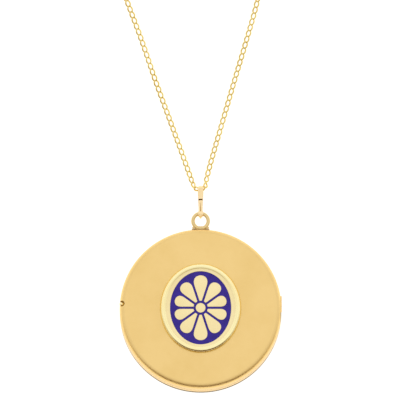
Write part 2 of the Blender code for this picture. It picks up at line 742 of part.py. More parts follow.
def end_rings():
    """The jump ring in the clasp's eye, standing up, and the flat ring at the chain's other end."""
    height = JUMP_MAJOR + JUMP_WIRE + JUMP_FLOOR_CLEARANCE - CLASP_CENTRE.z
    outward = math.sqrt(JUMP_MAJOR ** 2 - height ** 2)
    centre = clasp_point(0, EYE_CENTRE_RADIUS + outward, height)
    jump = torus("clasp_jump_ring", JUMP_MAJOR, JUMP_WIRE, centre,
                 (math.pi / 2, 0, math.radians(CLASP_TURN)), 24, 8)
    finish(jump, BRIGHT_GOLD)
    finish(torus("end_ring", END_RING_MAJOR, END_RING_WIRE, END_RING_CENTRE, (0, 0, 0), 24, 8),
           BRIGHT_GOLD)


def build():
    back_cover()
    back_inner_band()
    picture_place("back", BACK_FRAME_OUTER, list)
    front_cover()
    picture_place("front", FRONT_FRAME_OUTER, upside_down)
    hinge()
    catch_ball()
    medallion_bezel()
    medallion()
    suspension_ring()
    ring_base_collar()
    bail()
    chain_run("chain_left_run", -1, LEFT_ROUTE)
    chain_run("chain_right_run", 1, RIGHT_ROUTE)
    chain_coil()
    clasp_body()
    clasp_trigger()
    clasp_spring()
    end_rings()


build()
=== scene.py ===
"""Round satin-gold locket with an oval enamelled medallion, on a fine curb chain: the looks."""
import math

import bmesh
import bpy
from mathutils import Matrix, Vector


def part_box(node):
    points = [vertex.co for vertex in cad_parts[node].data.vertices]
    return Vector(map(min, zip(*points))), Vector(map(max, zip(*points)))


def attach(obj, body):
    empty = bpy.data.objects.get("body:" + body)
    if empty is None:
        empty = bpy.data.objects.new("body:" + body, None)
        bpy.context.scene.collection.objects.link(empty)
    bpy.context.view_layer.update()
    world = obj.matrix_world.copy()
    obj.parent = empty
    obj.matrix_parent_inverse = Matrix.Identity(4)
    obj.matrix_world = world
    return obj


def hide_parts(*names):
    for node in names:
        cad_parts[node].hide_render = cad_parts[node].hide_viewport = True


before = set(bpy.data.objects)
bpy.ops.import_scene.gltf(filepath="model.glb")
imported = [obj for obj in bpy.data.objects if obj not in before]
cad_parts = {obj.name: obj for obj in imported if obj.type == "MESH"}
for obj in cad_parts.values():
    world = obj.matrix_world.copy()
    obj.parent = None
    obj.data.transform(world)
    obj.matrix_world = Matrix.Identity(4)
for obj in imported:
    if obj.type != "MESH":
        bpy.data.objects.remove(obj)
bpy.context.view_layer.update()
MM = 0.001
WELD = 1e-7

# --- Sizes, from the frame ---

BACK_LOW, BACK_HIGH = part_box("back_cover")
FRONT_LOW, FRONT_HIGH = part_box("front_cover")
CASE_RADIUS = (BACK_HIGH.y - BACK_LOW.y) / 2
CASE_THICKNESS = FRONT_HIGH.z
PARTING_Z = CASE_THICKNESS / 2
EDGE_RADIUS = 0.9 * MM
LID_EDGE_RADIUS = 1.55 * MM
WALL = 0.45 * MM
CUT_OVERRUN = 1 * MM
LID_RIM_Z = FRONT_LOW.z
CASE_RIM_Z = BACK_HIGH.z

PIN_LOW, PIN_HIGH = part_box("hinge_pin")
PIN_SHORTER = 0.04 * MM
HINGE_X = (PIN_LOW.x + PIN_HIGH.x) / 2
HINGE_Y = (PIN_LOW.y + PIN_HIGH.y) / 2
HINGE_LENGTH = PIN_HIGH.y - PIN_LOW.y + PIN_SHORTER
HINGE_RELIEF = 0.38 * MM
HINGE_CHORD = 0.05 * MM
HINGE_FLAT_REACH = 4 * MM
HINGE_END_GAP = 0.1 * MM
KNUCKLE_BORE = 0.175 * MM

BALL_LOW, BALL_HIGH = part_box("catch_ball")
BALL_RADIUS = (BALL_HIGH.x - BALL_LOW.x) / 2
BALL = Vector(((BALL_LOW.x + BALL_HIGH.x) / 2, (BALL_LOW.y + BALL_HIGH.y) / 2,
               BALL_HIGH.z - BALL_RADIUS))
NOTCH_RADIUS = 0.8 * MM

BEZEL_LOW, BEZEL_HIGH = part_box("medallion_bezel")
PLAQUE_LOW, PLAQUE_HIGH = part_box("medallion_plaque")
ENAMEL_LOW, ENAMEL_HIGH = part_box("enamel_field")
RING_LOW, RING_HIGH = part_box("suspension_ring")
RING_CENTRE = (RING_LOW + RING_HIGH) / 2
RING_WIRE = (RING_HIGH.z - RING_LOW.z) / 2
RING_MAJOR = (RING_HIGH.x - RING_LOW.x) / 2 - RING_WIRE
COLLAR_LOW, COLLAR_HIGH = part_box("ring_base_collar")

# --- Camera ---

CAMERA_ELEVATION = math.radians(79.5)
CAMERA_LENS = 1200
VIEW_WIDTH = 110.6 * MM
VIEW_AIM = Vector((-0.17 * MM, 31.0 * MM, PARTING_Z))


def make_camera():
    """A long lens square on to the locket, tipped a little towards its lower edge."""
    camera = bpy.data.cameras.new("camera")
    camera.lens = CAMERA_LENS
    camera.sensor_width = 36
    distance = VIEW_WIDTH * CAMERA_LENS / camera.sensor_width
    camera.clip_start = 0.01
    camera.clip_end = 20
    obj = bpy.data.objects.new("camera", camera)
    bpy.context.scene.collection.objects.link(obj)
    back = Vector((0, -math.cos(CAMERA_ELEVATION), math.sin(CAMERA_ELEVATION)))
    obj.location = VIEW_AIM + back * distance
    obj.rotation_mode = "QUATERNION"
    obj.rotation_quaternion = (-back).to_track_quat("-Z", "Y")
    bpy.context.scene.camera = obj


# --- Chain routes: the same points as the CAD model, in metres ---

CHAIN_AXIS = Vector((0, 0.034205, 0.001411))
LEFT_ROUTE = (
    (-0.00150, 0.03442, 0.00132),
    (-0.00230, 0.03640, 0.00117),
    (-0.00445, 0.04270, 0.00075),
    (-0.00846, 0.05396, 0.00046),
    (-0.01250, 0.06520, 0.00043),
    (-0.01630, 0.07650, 0.00043),
    (-0.02000, 0.08660, 0.00043),
    (-0.02170, 0.09160, 0.00043),
    (-0.02090, 0.09520, 0.00043),
    (-0.01730, 0.09690, 0.00043),
    (-0.01200, 0.09560, 0.00043),
    (-0.00655, 0.09385, 0.00043),
)
RIGHT_ROUTE = (
    (0.00124, 0.03452, 0.00132),
    (0.00162, 0.03720, 0.00114),
    (0.00301, 0.04270, 0.00075),
    (0.00619, 0.05396, 0.00046),
    (0.00940, 0.06520, 0.00043),
    (0.01270, 0.07650, 0.00043),
    (0.01550, 0.08660, 0.00043),
    (0.01640, 0.09240, 0.00043),
    (0.01590, 0.09800, 0.00043),
    (0.01400, 0.10280, 0.00043),
    (0.01275, 0.10600, 0.00043),
)
CHAIN_START_X = 0.15 * MM
CHAIN_EDGE = Vector((0.98 * MM, 0.03 * MM, 0))
CHAIN_SIDE_LENGTH = 224 * MM
LINK_HALF_LENGTH = 1.09 * MM
LINK_HALF_WIDTH = 0.58 * MM
LINK_TWIST = 0.22 * MM
LINK_WIRE = 0.23 * MM
LINK_PITCH = 1.71 * MM
FIRST_LINK_ROLL = math.radians(62)
LEVEL_AFTER_LINKS = 4
COIL_PITCH = 3.0 * MM
COIL_START_RADIUS = 13.9 * MM
COIL_LOW, COIL_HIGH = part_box("chain_coil")
COIL_CENTRE = Vector(((COIL_LOW.x + COIL_HIGH.x) / 2, (COIL_LOW.y + COIL_HIGH.y) / 2, 0.43 * MM))


def ease(share):
    """0 to 1 with a soft start and a soft end."""
    share = min(max(share, 0.0), 1.0)
    return share * share * (3 - 2 * share)


def coil_points(start_deg, drop, drop_deg, tail_deg, tail):
    """A flat spiral inwards: an early drop to make room for the other strand, and a late tail."""
    step_deg = 10
    points = []
    for number in range(tail_deg // step_deg + 18):
        turned_deg = number * step_deg
        radius = COIL_START_RADIUS - drop * ease(turned_deg / max(drop_deg, 1))
        radius -= COIL_PITCH * max(0, turned_deg - drop_deg) / 360
        radius -= tail * ease((turned_deg - tail_deg) / 110)
        angle = math.radians(start_deg + turned_deg)
        points.append(COIL_CENTRE + radius * Vector((math.cos(angle), math.sin(angle), 0)))
    return points


def smooth_path(points, length):
    """Close points on a smooth curve through the given ones, cut at a length."""
    parts = 24
    padded = [points[0] * 2 - points[1], *points, points[-1] * 2 - points[-2]]
    path = [points[0].copy()]
    covered = 0.0
    for i in range(1, len(padded) - 2):
        a, b, c, d = padded[i - 1:i + 3]
        for part in range(1, parts + 1):
            t = part / parts
            point = 0.5 * (2 * b + (c - a) * t + (2 * a - 5 * b + 4 * c - d) * t * t
                           + (3 * b - a - 3 * c + d) * t ** 3)
            step = (point - path[-1]).length
            if covered + step >= length:
                path.append(path[-1].lerp(point, (length - covered) / step))
                return path
            covered += step
            path.append(point)
    return path


def chain_path(side, route, coil):
    """One side of the chain, from inside the bail to the end of its coil."""
    inside = [CHAIN_AXIS + Vector((side * CHAIN_START_X, 0, 0)),
              CHAIN_AXIS + Vector((side * CHAIN_EDGE.x, CHAIN_EDGE.y, 0))]
    return smooth_path(inside + [Vector(point) for point in route] + coil, CHAIN_SIDE_LENGTH)


# --- Mesh helpers ---

def link_in(obj):
    """Add an object to the scene."""
    bpy.context.scene.collection.objects.link(obj)
    return obj


def mesh_object(name, bm):
    """An object from a bmesh, with its faces outward and its real edges sharp."""
    bmesh.ops.remove_doubles(bm, verts=bm.verts, dist=WELD)
    bmesh.ops.recalc_face_normals(bm, faces=bm.faces)
    mesh = bpy.data.meshes.new(name)
    bm.to_mesh(mesh)
    bm.free()
    mesh.shade_smooth()
    mesh.set_sharp_from_angle(angle=math.radians(32))
    return link_in(bpy.data.objects.new(name, mesh))


def baked(obj):
    """Replace an object's mesh by what its modifiers make of it."""
    bpy.context.view_layer.update()
    graph = bpy.context.evaluated_depsgraph_get()
    mesh = bpy.data.meshes.new_from_object(obj.evaluated_get(graph))
    obj.modifiers.clear()
    obj.data = mesh
    mesh.shade_smooth()
    mesh.set_sharp_from_angle(angle=math.radians(32))
    return obj


def cut(obj, *cutters):
    """Take cutters away from an object, and remove them."""
    for cutter in cutters:
        modifier = obj.modifiers.new("cut", "BOOLEAN")
        modifier.operation = "DIFFERENCE"
        modifier.object = cutter
    baked(obj)
    for cutter in cutters:
        bpy.data.objects.remove(cutter, do_unlink=True)
    return obj


def fuse(obj, other):
    """Join another object into an object, and remove it."""
    modifier = obj.modifiers.new("join", "BOOLEAN")
    modifier.operation = "UNION"
    modifier.object = other
    baked(obj)
    bpy.data.objects.remove(other, do_unlink=True)


def loft(bm, rings, closed_path=False):
    """Faces between successive rings of points, with a cap on each end of an open path."""
    rows = [[bm.verts.new(point) for point in ring] for ring in rings]
    count = len(rows[0])
    pairs = list(zip(rows, rows[1:]))
    if closed_path:
        pairs.append((rows[-1], rows[0]))
    for a, b in pairs:
        for i in range(count):
            j = (i + 1) % count
            bm.faces.new((a[i], a[j], b[j], b[i]))
    if not closed_path:
        bm.faces.new(rows[0][::-1])
        bm.faces.new(rows[-1])


def turned(name, profile, steps=240):
    """Turn a closed section of (radius, height) points round an upright axis."""
    bm = bmesh.new()
    rings = []
    for step in range(steps):
        angle = 2 * math.pi * step / steps
        out = Vector((math.cos(angle), math.sin(angle), 0))
        rings.append([out * radius + Vector((0, 0, height)) for radius, height in profile])
    loft(bm, rings, closed_path=True)
    return mesh_object(name, bm)


def solid_turned(name, profile, steps=240, centre=(0, 0, 0)):
    """Turn an open section that starts and ends on the axis."""
    mesh = bpy.data.meshes.new(name)
    edges = [(i, i + 1) for i in range(len(profile) - 1)]
    mesh.from_pydata([(radius, 0, height) for radius, height in profile], edges, [])
    obj = link_in(bpy.data.objects.new(name, mesh))
    screw = obj.modifiers.new("turn", "SCREW")
    screw.steps = steps
    screw.render_steps = steps
    screw.use_merge_vertices = True
    screw.merge_threshold = WELD
    baked(obj)
    bm = bmesh.new()
    bm.from_mesh(obj.data)
    bpy.data.objects.remove(obj, do_unlink=True)
    bmesh.ops.translate(bm, verts=bm.verts, vec=centre)
    return mesh_object(name, bm)


def arc(centre, radius, start, end, steps):
    """Points of a circular arc, from one angle in degrees to another."""
    points = []
    for step in range(steps + 1):
        angle = math.radians(start + (end - start) * step / steps)
        points.append((centre[0] + radius * math.cos(angle), centre[1] + radius * math.sin(angle)))
    return points


def flipped(profile):
    """A section mirrored from the back cover's side of the case to the front cover's."""
    return [(radius, CASE_THICKNESS - height) for radius, height in reversed(profile)]


def torus(name, centre, major, minor, turn=None, steps=96, sides=24):
    """A round ring; turn is a rotation matrix for its plane."""
    bm = bmesh.new()
    turn = turn or Matrix.Identity(3)
    rings = []
    for step in range(steps):
        angle = 2 * math.pi * step / steps
        out = Vector((math.cos(angle), math.sin(angle), 0))
        ring = []
        for side in range(sides):
            around = 2 * math.pi * side / sides
            local = out * (major + minor * math.cos(around)) + Vector((0, 0, minor * math.sin(around)))
            ring.append(Vector(centre) + turn @ local)
        rings.append(ring)
    loft(bm, rings, closed_path=True)
    return mesh_object(name, bm)


def rod(name, points, radius, sides=24):
    """A round bar along points, with flat ends."""
    bm = bmesh.new()
    loft(bm, swept(points, sides, lambda index: radius))
    return mesh_object(name, bm)


def swept(points, sides, radius_at, closed=False):
    """Rings of points round a path, carried along it without twist."""
    count = len(points)
    rings = []
    side = None
    for index, point in enumerate(points):
        before = points[index - 1] if index or closed else point
        after = points[(index + 1) % count] if index < count - 1 or closed else point
        along = (after - before).normalized()
        if side is None:
            side = along.orthogonal()
        side = (side - along * side.dot(along)).normalized()
        other = along.cross(side)
        radius = radius_at(index)
        ring = []
        for number in range(sides):
            angle = 2 * math.pi * number / sides
            ring.append(point + (side * math.cos(angle) + other * math.sin(angle)) * radius)
        rings.append(ring)
    return rings


def cylinder(name, low, high, radius, sides=48):
    """A round bar between two points, for cutting."""
    return rod(name, [Vector(low), Vector(high)], radius, sides)


def slab(name, low, high):
    """A plain box between two corners, for cutting."""
    bm = bmesh.new()
    bmesh.ops.create_cube(bm, size=1.0)
    low, high = Vector(low), Vector(high)
    bmesh.ops.scale(bm, verts=bm.verts, vec=high - low)
    bmesh.ops.translate(bm, verts=bm.verts, vec=(low + high) / 2)
    return mesh_object(name, bm)


# --- Materials ---

class Nodes:
    """A material's node tree, with short ways to add and join nodes."""

    def __init__(self, name):
        self.material = bpy.data.materials.new(name)
        self.material.use_nodes = True
        self.tree = self.material.node_tree
        self.shader = self.tree.nodes["Principled BSDF"]
        self.where = self.add("ShaderNodeTexCoord").outputs["Object"]

    def add(self, kind, **settings):
        node = self.tree.nodes.new(kind)
        for key, value in settings.items():
            setattr(node, key, value)
        return node

    def join(self, output, socket):
        self.tree.links.new(output, socket)

    def stretched(self, scale, turn=(0, 0, 0)):
        """Object coordinates scaled differently along each axis."""
        mapping = self.add("ShaderNodeMapping")
        mapping.inputs["Scale"].default_value = scale
        mapping.inputs["Rotation"].default_value = turn
        self.join(self.where, mapping.inputs["Vector"])
        return mapping.outputs["Vector"]

    def noise(self, vector, scale, detail=3.0, roughness=0.55):
        texture = self.add("ShaderNodeTexNoise")
        texture.inputs["Scale"].default_value = scale
        texture.inputs["Detail"].default_value = detail
        texture.inputs["Roughness"].default_value = roughness
        self.join(vector, texture.inputs["Vector"])
        return texture.outputs["Fac"]

    def ramp(self, value, *stops):
        """A colour or grey value by position; each stop is (position, colour)."""
        ramp = self.add("ShaderNodeValToRGB")
        elements = ramp.color_ramp.elements
        while len(elements) < len(stops):
            elements.new(0.5)
        for element, (position, colour) in zip(elements, stops):
            element.position = position
            element.color = (*colour, 1.0) if len(colour) == 3 else (*([colour[0]] * 3), 1.0)
        self.join(value, ramp.inputs["Fac"])
        return ramp.outputs["Color"]

    def between(self, value, low, high):
        """A value of 0 to 1 turned into a range."""
        node = self.add("ShaderNodeMapRange")
        node.inputs["To Min"].default_value = low
        node.inputs["To Max"].default_value = high
        self.join(value, node.inputs["Value"])
        return node.outputs["Result"]

    def bump(self, *layers):
        """Bump from several (height, depth in metres) layers, one on another."""
        normal = None
        for height, depth in layers:
            node = self.add("ShaderNodeBump")
            node.inputs["Strength"].default_value = 1.0
            node.inputs["Distance"].default_value = depth
            self.join(height, node.inputs["Height"])
            if normal:
                self.join(normal, node.inputs["Normal"])
            normal = node.outputs["Normal"]
        self.join(normal, self.shader.inputs["Normal"])


def gold(name, light, dark, roughness, grain, grain_depth, brushed=0.0):
    """Gold plate: two close tones, a fine satin grain, and faint brushing along X."""
    m = Nodes(name)
    m.shader.inputs["Metallic"].default_value = 1.0
    clouds = m.noise(m.where, 110, 5, 0.62)
    m.join(m.ramp(clouds, (0.32, dark), (0.62, light)), m.shader.inputs["Base Color"])
    speck = m.noise(m.where, grain, 2, 0.6)
    m.join(m.between(speck, roughness[0], roughness[1]), m.shader.inputs["Roughness"])
    layers = [(speck, grain_depth)]
    if brushed:
        lines = m.noise(m.stretched((0.06, 1.0, 1.0), (0, 0, math.radians(8))), 5200, 2)
        layers.append((lines, brushed))
    m.bump(*layers)
    return m.material


def make_materials():
    """Every finish on the locket, by name."""
    looks = {
        "satin": gold("satin_gold", (0.885, 0.632, 0.258), (0.845, 0.592, 0.226), (0.34, 0.42),
                      4200, 1.2e-6, 2.0e-6),
        "polished": gold("polished_gold", (1.0, 0.82, 0.44), (0.97, 0.77, 0.37), (0.10, 0.17),
                         2600, 4e-7),
        "pale": gold("pale_gold", (0.94, 0.79, 0.44), (0.90, 0.745, 0.39), (0.32, 0.40),
                     5200, 8e-7, 8e-7),
        # Painted highlight: a paler copy of the polished gold, so the bezel's roll reads brighter.
        "bezel": gold("bezel_gold_painted_highlight", (1.0, 0.90, 0.50), (1.0, 0.85, 0.43), (0.08, 0.14),
                      2600, 4e-7),
        "ring": gold("ring_gold", (0.82, 0.64, 0.33), (0.70, 0.51, 0.22), (0.08, 0.15),
                     3000, 8e-7),
        "bail": gold("bail_gold", (1.0, 0.79, 0.48), (0.94, 0.70, 0.36), (0.12, 0.20),
                     3000, 8e-7),
        # Painted shade: a dark gold for the line down the bail's ridge.
        "crease_shade": gold("painted_crease_shade", (0.50, 0.28, 0.06), (0.40, 0.20, 0.04), (0.4, 0.5),
                       5000, 1e-6),
        "chain": gold("chain_gold", (0.89, 0.72, 0.29), (0.78, 0.59, 0.18), (0.12, 0.20),
                      3000, 5e-7),
        # Painted shade: a dark brown gold for the bail's seam and for the gap behind the milled row.
        "painted_shade": gold("painted_shade_brown", (0.13, 0.055, 0.008), (0.08, 0.03, 0.004), (0.5, 0.65),
                      5000, 2e-6),
    }
    looks["enamel"] = enamel_material()
    looks["lens"] = lens_material()
    looks["card"] = card_material()
    looks["steel"] = steel_material()
    return looks


def enamel_material():
    """Fired violet-blue enamel: a glassy coat over a slightly cloudy ground."""
    m = Nodes("blue_enamel")
    clouds = m.noise(m.where, 700, 4)
    m.join(m.ramp(clouds, (0.3, (0.026, 0.009, 0.23)), (0.72, (0.040, 0.016, 0.33))),
           m.shader.inputs["Base Color"])
    m.shader.inputs["Roughness"].default_value = 0.25
    m.shader.inputs["Specular IOR Level"].default_value = 0.2
    m.shader.inputs["Coat Weight"].default_value = 0.12
    m.shader.inputs["Coat Roughness"].default_value = 0.06
    m.bump((m.noise(m.where, 900, 2), 6e-6))
    return m.material


def lens_material():
    """The clear protector over a picture."""
    m = Nodes("clear_lens")
    m.shader.inputs["Base Color"].default_value = (0.97, 0.985, 1.0, 1.0)
    m.shader.inputs["Transmission Weight"].default_value = 1.0
    m.shader.inputs["IOR"].default_value = 1.45
    m.shader.inputs["Alpha"].default_value = 0.4
    m.join(m.between(m.noise(m.where, 900, 3), 0.02, 0.07), m.shader.inputs["Roughness"])
    return m.material


def card_material():
    """Blank cream card with paper fibre."""
    m = Nodes("blank_card")
    fibre = m.noise(m.stretched((1.0, 0.4, 1.0)), 2400, 6, 0.7)
    m.join(m.ramp(fibre, (0.3, (0.74, 0.69, 0.58)), (0.7, (0.84, 0.80, 0.70))),
           m.shader.inputs["Base Color"])
    m.shader.inputs["Roughness"].default_value = 0.85
    m.bump((fibre, 1.2e-5))
    return m.material


def steel_material():
    """Bright drawn spring wire."""
    m = Nodes("spring_steel")
    m.shader.inputs["Base Color"].default_value = (0.62, 0.62, 0.64, 1.0)
    m.shader.inputs["Metallic"].default_value = 1.0
    drawn = m.noise(m.stretched((1.0, 1.0, 0.2)), 6000, 2)
    m.join(m.between(drawn, 0.2, 0.34), m.shader.inputs["Roughness"])
    m.bump((drawn, 5e-7))
    return m.material


LOOKS = make_materials()


def place(obj, body, look, slot, *nodes):
    """Finish a piece: its material, the body it rides on and the nodes it replaces; the slot argument
    is not used.
    """
    obj.data.materials.clear()
    obj.data.materials.append(LOOKS[look])
    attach(obj, body)
    if nodes:
        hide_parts(*nodes)
    return obj


# --- Covers ---

def cover_profile(rim, outer_radius):
    """The back cover's section: in over the floor, up the wall, over the rim, down outside."""
    inner_edge = EDGE_RADIUS - WALL
    centre = (CASE_RADIUS - EDGE_RADIUS, EDGE_RADIUS)
    outer_centre = (CASE_RADIUS - outer_radius, outer_radius)
    ease_in = 0.05 * MM
    return [(0, WALL), *arc(centre, inner_edge, -90, 0, 8), (CASE_RADIUS - WALL, rim - ease_in),
            (CASE_RADIUS - WALL + ease_in, rim), (CASE_RADIUS - ease_in, rim),
            (CASE_RADIUS, rim - ease_in), *arc(outer_centre, outer_radius, 0, -90, 20), (0, 0)]


def hinge_cutters():
    """The flat along the hinge, and the round relief for the knuckles."""
    flat = slab("cut_flat", (HINGE_X - HINGE_CHORD, -HINGE_FLAT_REACH, -CUT_OVERRUN),
                (HINGE_X + CUT_OVERRUN, HINGE_FLAT_REACH, CASE_THICKNESS + CUT_OVERRUN))
    half = Vector((0, HINGE_LENGTH / 2 + HINGE_END_GAP, 0))
    centre = Vector((HINGE_X, HINGE_Y, PARTING_Z))
    relief = cylinder("cut_relief", centre - half, centre + half, HINGE_RELIEF)
    return flat, relief


def covers():
    """The two turned shells, cleared for the hinge and notched over the catch ball."""
    back = solid_turned("back_shell", cover_profile(CASE_RIM_Z, EDGE_RADIUS))
    cut(back, *hinge_cutters())
    place(back, "case", "satin", "satin_gold", "back_cover")

    profile = cover_profile(CASE_THICKNESS - LID_RIM_Z, LID_EDGE_RADIUS)
    front = solid_turned("front_shell", flipped(profile))
    notch = cylinder("cut_notch", (BALL.x, BALL.y, PARTING_Z),
                     (BALL.x, BALL.y, CASE_THICKNESS + CUT_OVERRUN), NOTCH_RADIUS)
    cut(front, *hinge_cutters(), notch)
    place(front, "lid", "satin", "satin_gold", "front_cover")


# --- Inside ---

BAND_THICKNESS = 0.32 * MM
BAND_NOTCH_RADIUS = 0.72 * MM
BAND_NOTCH_BOTTOM = 3.3 * MM
FRAME_SEAT_RADIUS = 19.8 * MM
FRAME_LIP_INNER = 18.9 * MM
FRAME_LIP = 0.7 * MM
FRAME_BEAD = 0.22 * MM


def inner_band():
    """The thin rim that the lid snaps over, eased where the lid meets it."""
    low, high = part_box("back_inner_band")
    outer = high.x
    inner = outer - BAND_THICKNESS
    ease_in = 0.1 * MM
    profile = [(inner, high.z - ease_in), (inner + ease_in / 2, high.z),
               (outer - ease_in, high.z), (outer, high.z - ease_in), (outer, low.z), (inner, low.z)]
    band = turned("snap_rim", profile)
    notch = cylinder("cut_notch", (BALL.x, BALL.y, BAND_NOTCH_BOTTOM),
                     (BALL.x, BALL.y, high.z + CUT_OVERRUN), BAND_NOTCH_RADIUS)
    place(cut(band, notch), "case", "polished", "polished_gold", "back_inner_band")


def picture_place(side, body, flip):
    """The frame with its beaded lip, the lens and the blank card of one cover."""
    frame_low, frame_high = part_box(side + "_photo_frame")
    lens_low, lens_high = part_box(side + "_lens")
    card_low, card_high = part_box(side + "_photo_card")

    def from_back(low, high):
        """Two heights counted from the outer face of this side's own cover."""
        return (CASE_THICKNESS - high.z, CASE_THICKNESS - low.z) if flip else (low.z, high.z)

    outer = frame_high.x
    bottom, top = from_back(frame_low, frame_high)
    chamfer = 0.3 * MM
    bead = FRAME_BEAD
    profile = [*arc((FRAME_LIP_INNER + bead, top - bead), bead, 180, 60, 8),
               (FRAME_LIP_INNER + 3 * bead, top - 1.2 * bead),
               (outer - 3 * bead, top - 1.2 * bead),
               *arc((outer - bead, top - bead), bead, 110, 0, 8),
               (outer, bottom + chamfer), (outer - chamfer, bottom), (FRAME_SEAT_RADIUS, bottom),
               (FRAME_SEAT_RADIUS, top - FRAME_LIP), (FRAME_LIP_INNER, top - FRAME_LIP)]
    ring = turned(side + "_frame_ring", flipped(profile) if flip else profile)
    if flip:
        notch = cylinder("cut_notch", (BALL.x, BALL.y, PARTING_Z),
                         (BALL.x, BALL.y, CASE_THICKNESS + CUT_OVERRUN), NOTCH_RADIUS)
        cut(ring, notch)
    place(ring, body, "polished", "polished_gold", side + "_photo_frame")

    bottom, top = from_back(lens_low, lens_high)
    edge = 0.12 * MM
    profile = [(0, top), (lens_high.x - edge, top), (lens_high.x, top - edge),
               (lens_high.x, bottom + edge), (lens_high.x - edge, bottom), (0, bottom)]
    lens = solid_turned(side + "_window", flipped(profile) if flip else profile)
    place(lens, body, "lens", "clear_lens", side + "_lens")

    bottom, top = from_back(card_low, card_high)
    profile = [(0, top), (card_high.x, top), (card_high.x, bottom), (0, bottom)]
    card = solid_turned(side + "_blank_card", flipped(profile) if flip else profile)
    place(card, body, "card", "card", side + "_photo_card")


# --- Hinge and catch ---

def hinge():
    """Three seamless tubes with eased ends, and the pin with its burred heads."""
    ease_in = 0.05 * MM
    for node, body in (("hinge_knuckle_back_lower", "case"), ("hinge_knuckle_front", "lid"),
                       ("hinge_knuckle_back_upper", "case")):
        low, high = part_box(node)
        radius = (high.z - low.z) / 2
        half = (high.y - low.y) / 2
        profile = [(KNUCKLE_BORE, half), (radius - ease_in, half), (radius, half - ease_in),
                   (radius, ease_in - half), (radius - ease_in, -half), (KNUCKLE_BORE, -half)]
        tube = turned(node + "_tube", profile, 64)
        lay_along_y(tube, Vector((HINGE_X, (low.y + high.y) / 2, PARTING_Z)))
        place(tube, body, "satin", "satin_gold", node)
    half = (PIN_HIGH.y - PIN_LOW.y) / 2
    radius = (PIN_HIGH.z - PIN_LOW.z) / 2
    dome = 0.06 * MM
    profile = [(0, half), (radius - dome, half), (radius, half - dome),
               (radius, dome - half), (radius - dome, -half), (0, -half)]
    pin = solid_turned("hinge_wire", profile, 40)
    lay_along_y(pin, Vector((HINGE_X, HINGE_Y, PARTING_Z)))
    place(pin, "case", "polished", "polished_gold", "hinge_pin")


def lay_along_y(obj, centre):
    """Turn a piece made round Z so that its axis lies along Y, at a centre."""
    obj.data.transform(Matrix.Translation(centre) @ Matrix.Rotation(math.pi / 2, 4, "X"))


def catch_ball():
    """The snap ball on a short stem, with the soldered foot that holds it."""
    stem = 0.22 * MM
    foot = 0.45 * MM
    foot_height = 0.12 * MM
    foot_top = BALL_LOW.z + foot_height
    below = math.degrees(math.acos(stem / BALL_RADIUS))
    ball = arc((0, BALL.z), BALL_RADIUS, 90, -below, 28)
    profile = [(0, BALL_HIGH.z), *ball[1:], (stem, foot_top), (foot, foot_top),
               (foot, BALL_LOW.z), (0, BALL_LOW.z)]
    knob = solid_turned("snap_ball", profile, 64, (BALL.x, BALL.y, 0))
    place(knob, "case", "polished", "polished_gold", "catch_ball")


# --- Medallion ---

OVAL_STEPS = 192
BEZEL_WIDTH = 1.5 * MM
BEZEL_ROLL = 0.85 * MM
BEZEL_OUTER_FALL = 0.9
INNER_FALL = 0.28 * MM
PLAQUE_OVERLAP = 0.09 * MM
ENAMEL_SEAT_GAP = 0.02 * MM
ENAMEL_BED_DEPTH = 0.04 * MM
ENAMEL_BORDER = 1.1 * MM
PETALS = 10
PETAL_START = 1.95 * MM
PETAL_GAP = 0.62 * MM
PETAL_STRAIGHT = 0.58
BOSS_RADIUS = 1.35 * MM


def oval_ring(name, half, section, steps=OVAL_STEPS):
    """A closed section of (inset, height) points carried round an upright ellipse."""
    bm = bmesh.new()
    rings = []
    for step in range(steps):
        angle = 2 * math.pi * step / steps
        ring = []
        for inset, height in section:
            ring.append(Vector(((half[0] - inset) * math.cos(angle),
                                (half[1] - inset) * math.sin(angle), height)))
        rings.append(ring)
    loft(bm, rings, closed_path=True)
    return mesh_object(name, bm)


def bezel():
    """A rolled wall: steep and round outside, sloping gently in towards the plaque."""
    bottom, top = BEZEL_LOW.z, BEZEL_HIGH.z
    fall = BEZEL_OUTER_FALL * (top - bottom)
    steps = 8
    section = [(0, bottom)]
    for step in range(steps + 1):
        turn = math.pi / 2 * step / steps
        section.append((BEZEL_ROLL * (1 - math.cos(turn)) ** 0.8, top - fall * (1 - math.sin(turn))))
    for step in range(1, steps + 1):
        share = step / steps
        inset = BEZEL_ROLL + (BEZEL_WIDTH - BEZEL_ROLL) * share
        section.append((inset, top - INNER_FALL * share ** 1.5))
    section.append((BEZEL_WIDTH, bottom))
    wall = oval_ring("bezel_roll", (BEZEL_HIGH.x, BEZEL_HIGH.y), section)
    # The bezel's paler gold is painted highlight.
    place(wall, "lid", "bezel", "polished_gold", "medallion_bezel")


def petal_outline(angle, inset):
    """A wedge from near the boss to a round end near the border, drawn in by an inset."""
    half = (ENAMEL_HIGH.x - ENAMEL_BORDER - inset, ENAMEL_HIGH.y - ENAMEL_BORDER - inset)
    end = 1 / math.hypot(math.sin(angle) / half[0], math.cos(angle) / half[1])
    start = PETAL_START + inset
    wedge = math.pi / PETALS
    along = Vector((math.sin(angle), math.cos(angle)))
    across = Vector((along.y, -along.x))
    shares = [PETAL_STRAIGHT * step / 6 for step in range(6)]
    shares += [1 - (1 - PETAL_STRAIGHT) * (1 - math.sin(math.pi / 2 * step / 10))
               for step in range(11)]
    outline = []
    for side in (1, -1):
        for share in shares[::side]:
            out = start + (end - start) * share
            rounding = max((share - PETAL_STRAIGHT) / (1 - PETAL_STRAIGHT), 0.0)
            width = out * math.tan(wedge) - PETAL_GAP / 2 - inset / math.cos(wedge)
            outline.append(along * out + across * side * width * math.sqrt(1 - rounding ** 2))
    return outline[:-len(shares)] + outline[-len(shares) + 1:]


def boss_outline(inset):
    """The round boss in the middle, drawn in by an inset."""
    return [Vector(point) for point in arc((0, 0), BOSS_RADIUS - inset, 0, 352.5, 47)]


